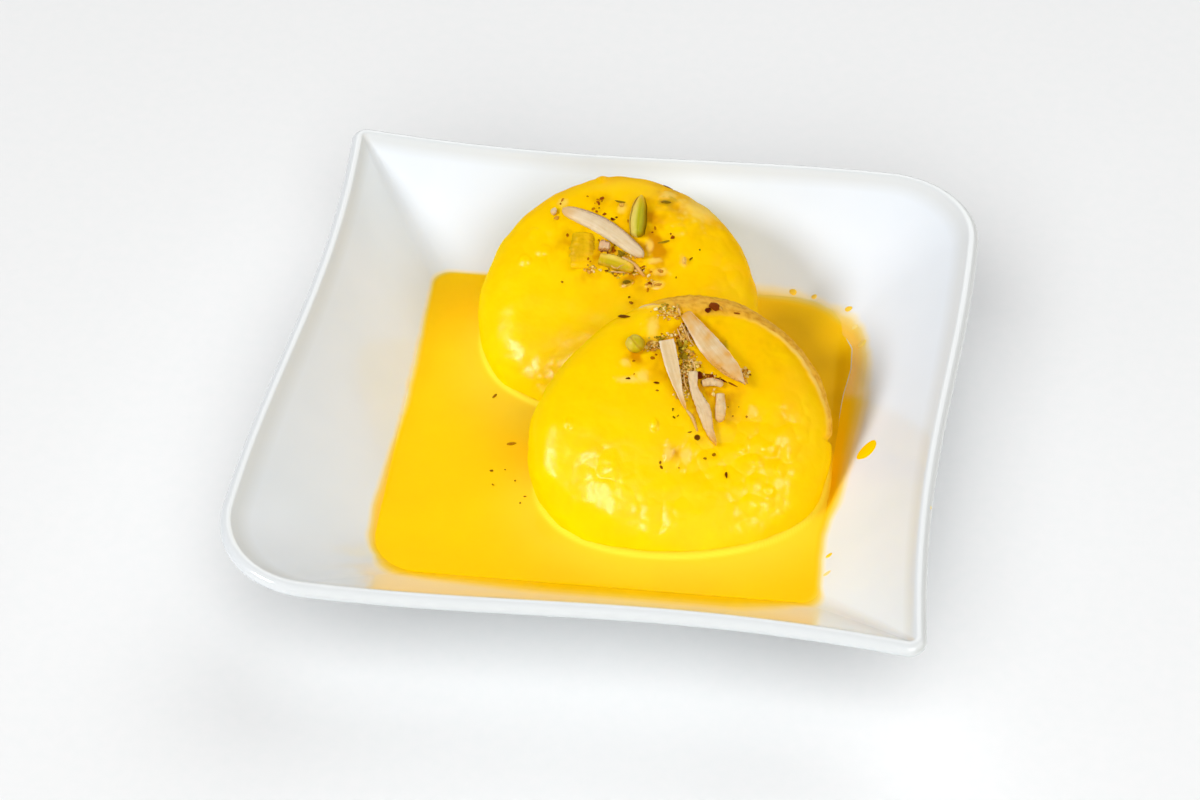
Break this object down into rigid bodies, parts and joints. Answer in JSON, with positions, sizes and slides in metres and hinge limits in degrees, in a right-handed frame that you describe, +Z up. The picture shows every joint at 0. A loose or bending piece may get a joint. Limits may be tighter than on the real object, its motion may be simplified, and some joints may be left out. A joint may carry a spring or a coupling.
{
  "type": "rasmalai in a porcelain bowl",
  "caption": "Soft milk patties in saffron milk under slivered almond and pistachio, served in a square porcelain bowl with wavy sides.",
  "frame": {"origin": "on the table, under the centre of the bowl", "axes": "+Z up; the bowl's sides run along X and Y, with its pointed corners at -X +Y and +X -Y; the viewer of the serving stands at -Y"},
  "size_m": [0.1484, 0.1484, 0.0486],
  "materials": {
    "porcelain": "glossy white glaze",
    "saffron_milk": "opaque wet liquid, glossy",
    "soaked_patty": "soft wet sponge, satin to glossy",
    "almond": "dry cut nut, satin",
    "pistachio": "cut nut, satin",
    "soaked_pistachio": "nut wet with milk, glossy"
  },
  "bodies": {
    "root": {"dish": "porcelain", "saffron_milk": "saffron_milk", "patty_back": "soaked_patty", "patty_front": "soaked_patty", "almond_sliver_back": "almond", "almond_scrap_back": "almond", "pistachio_sliver_back": "pistachio", "pistachio_wedge_back": "soaked_pistachio", "pistachio_chip_back": "pistachio", "nut_chip_back": "almond", "almond_flake_front": "almond", "almond_sliver_front": "almond", "almond_shard_front": "almond", "almond_chunk_front": "almond", "almond_paring_front": "almond", "pistachio_nib_front": "pistachio"}
  },
  "joints": []
}
